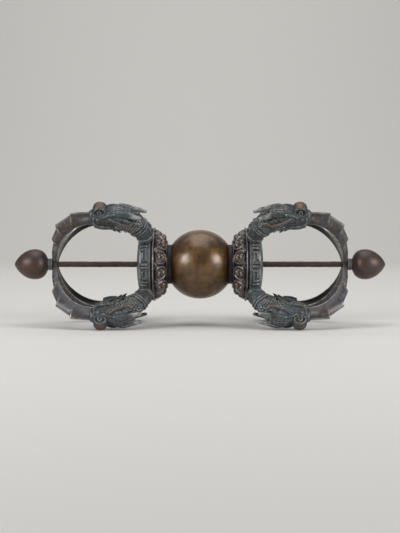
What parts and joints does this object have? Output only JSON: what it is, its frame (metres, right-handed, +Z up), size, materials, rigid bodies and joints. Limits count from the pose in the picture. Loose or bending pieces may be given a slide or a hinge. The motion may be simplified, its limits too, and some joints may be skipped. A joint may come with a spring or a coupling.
{
  "type": "dorje vajra",
  "caption": "Hand-held ritual vajra of aged bronze: globe grip, and at each end a lotus collar, fret drum and makara heads holding curved prongs that meet under a bud finial.",
  "frame": {"origin": "centre of the globe, halfway along the core rod", "axes": "+X along the rod to the right-hand finial, +Z up as the object lies, -Y towards the viewer"},
  "size_m": [0.1666, 0.0544, 0.0544],
  "materials": {
    "globe_bronze": "worn polish over mottled brown patina",
    "cast_bronze": "dark blue-grey patina with rubbed edges",
    "prong_bronze": "dark patina, rubbed on ridges",
    "finial_bronze": "handled brown patina",
    "grey_bronze": "dull grey patina",
    "pin_bronze": "dull dark patina",
    "rod_iron": "rusted plain rod"
  },
  "bodies": {
    "root": {"centre_globe": "globe_bronze", "core_rod": "rod_iron", "left_seat_ring": "cast_bronze", "left_lotus_collar": "cast_bronze", "left_fret_drum": "cast_bronze", "left_tip_collar": "grey_bronze", "left_finial": "finial_bronze", "left_neck_pins": "pin_bronze", "left_mouth_pins": "pin_bronze", "right_seat_ring": "cast_bronze", "right_lotus_collar": "cast_bronze", "right_fret_drum": "cast_bronze", "right_tip_collar": "grey_bronze", "right_finial": "finial_bronze", "right_neck_pins": "pin_bronze", "right_mouth_pins": "pin_bronze", "left_makara_1": "cast_bronze", "left_makara_2": "cast_bronze", "left_makara_3": "cast_bronze", "left_makara_4": "cast_bronze", "right_makara_1": "cast_bronze", "right_makara_2": "cast_bronze", "right_makara_3": "cast_bronze", "right_makara_4": "cast_bronze", "left_prong_1": "prong_bronze", "left_prong_2": "prong_bronze", "left_prong_3": "prong_bronze", "left_prong_4": "prong_bronze", "right_prong_1": "prong_bronze", "right_prong_2": "prong_bronze", "right_prong_3": "prong_bronze", "right_prong_4": "prong_bronze"}
  },
  "joints": []
}
